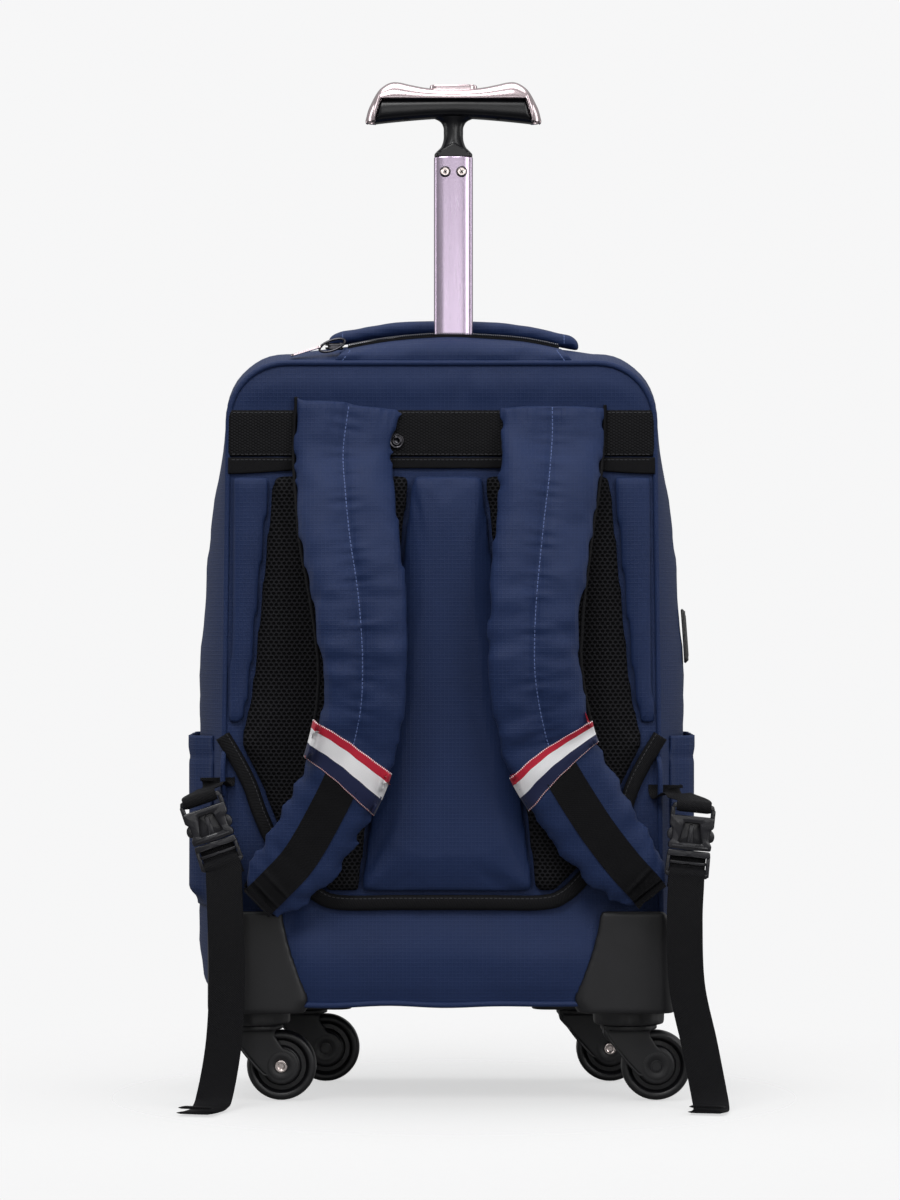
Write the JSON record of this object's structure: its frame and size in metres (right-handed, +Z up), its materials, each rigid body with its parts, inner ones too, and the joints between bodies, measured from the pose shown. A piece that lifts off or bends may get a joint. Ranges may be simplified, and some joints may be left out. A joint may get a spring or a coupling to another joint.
{
  "type": "wheeled backpack",
  "caption": "Soft backpack on swivel casters, with a sliding towing handle, shoulder straps fastened down by buckles and a padded back.",
  "frame": {"origin": "centre of the bounding box's base, on the floor the casters and the webbing tails reach", "axes": "+Z up, the padded back and the shoulder straps face -Y, +X to the right of someone who looks at the back"},
  "size_m": [0.3877, 0.2881, 0.73],
  "materials": {
    "navy_fabric": "fine ripstop weave with a soft sheen",
    "black_mesh": "open air mesh",
    "black_webbing": "woven webbing and binding",
    "black_plastic": "satin moulded",
    "tyre": "satin",
    "striped_ribbon": "red, white and navy grosgrain stripes",
    "zip_metal": "silver coil",
    "rose_metal": "polished rose",
    "tube_metal": "anodised, satin",
    "rivet_metal": "dark polished"
  },
  "bodies": {
    "bag": {"back_panel": "navy_fabric", "gusset": "navy_fabric", "front_panel": "navy_fabric", "main_zip": "black_webbing", "main_zip_pull": "rose_metal", "side_pocket_l": "navy_fabric", "side_pocket_r": "navy_fabric", "side_patch": "black_webbing", "pad_centre": "navy_fabric", "pad_binding": "black_webbing", "pad_mesh_l": "black_mesh", "pad_side_l": "navy_fabric", "pad_mesh_r": "black_mesh", "pad_side_r": "navy_fabric", "trolley_band": "black_webbing", "band_binding": "black_webbing", "band_rivet": "rivet_metal", "shoulder_strap_l": "navy_fabric", "strap_ribbon_l": "striped_ribbon", "strap_webbing_l": "black_webbing", "buckle_socket_l": "black_plastic", "buckle_plug_l": "black_plastic", "anchor_webbing_l": "black_webbing", "tail_webbing_l": "black_webbing", "shoulder_strap_r": "navy_fabric", "strap_ribbon_r": "striped_ribbon", "strap_webbing_r": "black_webbing", "buckle_socket_r": "black_plastic", "buckle_plug_r": "black_plastic", "anchor_webbing_r": "black_webbing", "tail_webbing_r": "black_webbing", "zip_flap": "navy_fabric", "top_zip": "zip_metal", "top_zip_slider": "zip_metal", "top_zip_pull": "rose_metal", "grab_handle": "navy_fabric", "handle_sleeve": "black_plastic", "caster_housing_l": "black_plastic", "caster_housing_r": "black_plastic", "caster_plate_l": "black_plastic", "caster_plate_r": "black_plastic"},
    "handle": {"handle_tube": "tube_metal", "grip_core": "black_plastic", "grip_cover": "rose_metal", "grip_screw_l": "rivet_metal", "grip_screw_r": "rivet_metal"},
    "button": {"grip_button": "rose_metal"},
    "swivel_back_l": {"fork_back_l": "black_plastic", "axle_back_l": "rivet_metal"},
    "swivel_back_r": {"fork_back_r": "black_plastic", "axle_back_r": "rivet_metal"},
    "swivel_front_l": {"fork_front_l": "black_plastic", "axle_front_l": "rivet_metal"},
    "swivel_front_r": {"fork_front_r": "black_plastic", "axle_front_r": "rivet_metal"},
    "roller_back_l": {"wheel_back_l": "tyre"},
    "roller_back_r": {"wheel_back_r": "tyre"},
    "roller_front_l": {"wheel_front_l": "tyre"},
    "roller_front_r": {"wheel_front_r": "tyre"}
  },
  "joints": [
    {"name": "handle_slide", "type": "slide", "parent": "bag", "child": "handle", "axis": [0, 0, 1], "range_m": [-0.138, 0.2]},
    {"name": "button_press", "type": "slide", "parent": "handle", "child": "button", "axis": [0, 0, 1], "range_m": [-0.003, 0], "stiffness_N_per_m": 300, "springref_m": 0.003},
    {"name": "swivel_spin_back_l", "type": "hinge", "parent": "bag", "child": "swivel_back_l", "pos_m": [-0.14319, -0.0324, 0], "axis": [0, 0, 1], "continuous": true},
    {"name": "swivel_spin_back_r", "type": "hinge", "parent": "bag", "child": "swivel_back_r", "pos_m": [0.12581, -0.0324, 0], "axis": [0, 0, 1], "continuous": true},
    {"name": "swivel_spin_front_l", "type": "hinge", "parent": "bag", "child": "swivel_front_l", "pos_m": [-0.11469, 0.0976, 0], "axis": [0, 0, 1], "continuous": true},
    {"name": "swivel_spin_front_r", "type": "hinge", "parent": "bag", "child": "swivel_front_r", "pos_m": [0.09731, 0.0976, 0], "axis": [0, 0, 1], "continuous": true},
    {"name": "wheel_spin_back_l", "type": "hinge", "parent": "swivel_back_l", "child": "roller_back_l", "pos_m": [-0.12369, -0.0324, 0.025], "axis": [0, 1, 0], "continuous": true},
    {"name": "wheel_spin_back_r", "type": "hinge", "parent": "swivel_back_r", "child": "roller_back_r", "pos_m": [0.14531, -0.0324, 0.025], "axis": [0, 1, 0], "continuous": true},
    {"name": "wheel_spin_front_l", "type": "hinge", "parent": "swivel_front_l", "child": "roller_front_l", "pos_m": [-0.09519, 0.0976, 0.025], "axis": [0, 1, 0], "continuous": true},
    {"name": "wheel_spin_front_r", "type": "hinge", "parent": "swivel_front_r", "child": "roller_front_r", "pos_m": [0.11681, 0.0976, 0.025], "axis": [0, 1, 0], "continuous": true}
  ]
}
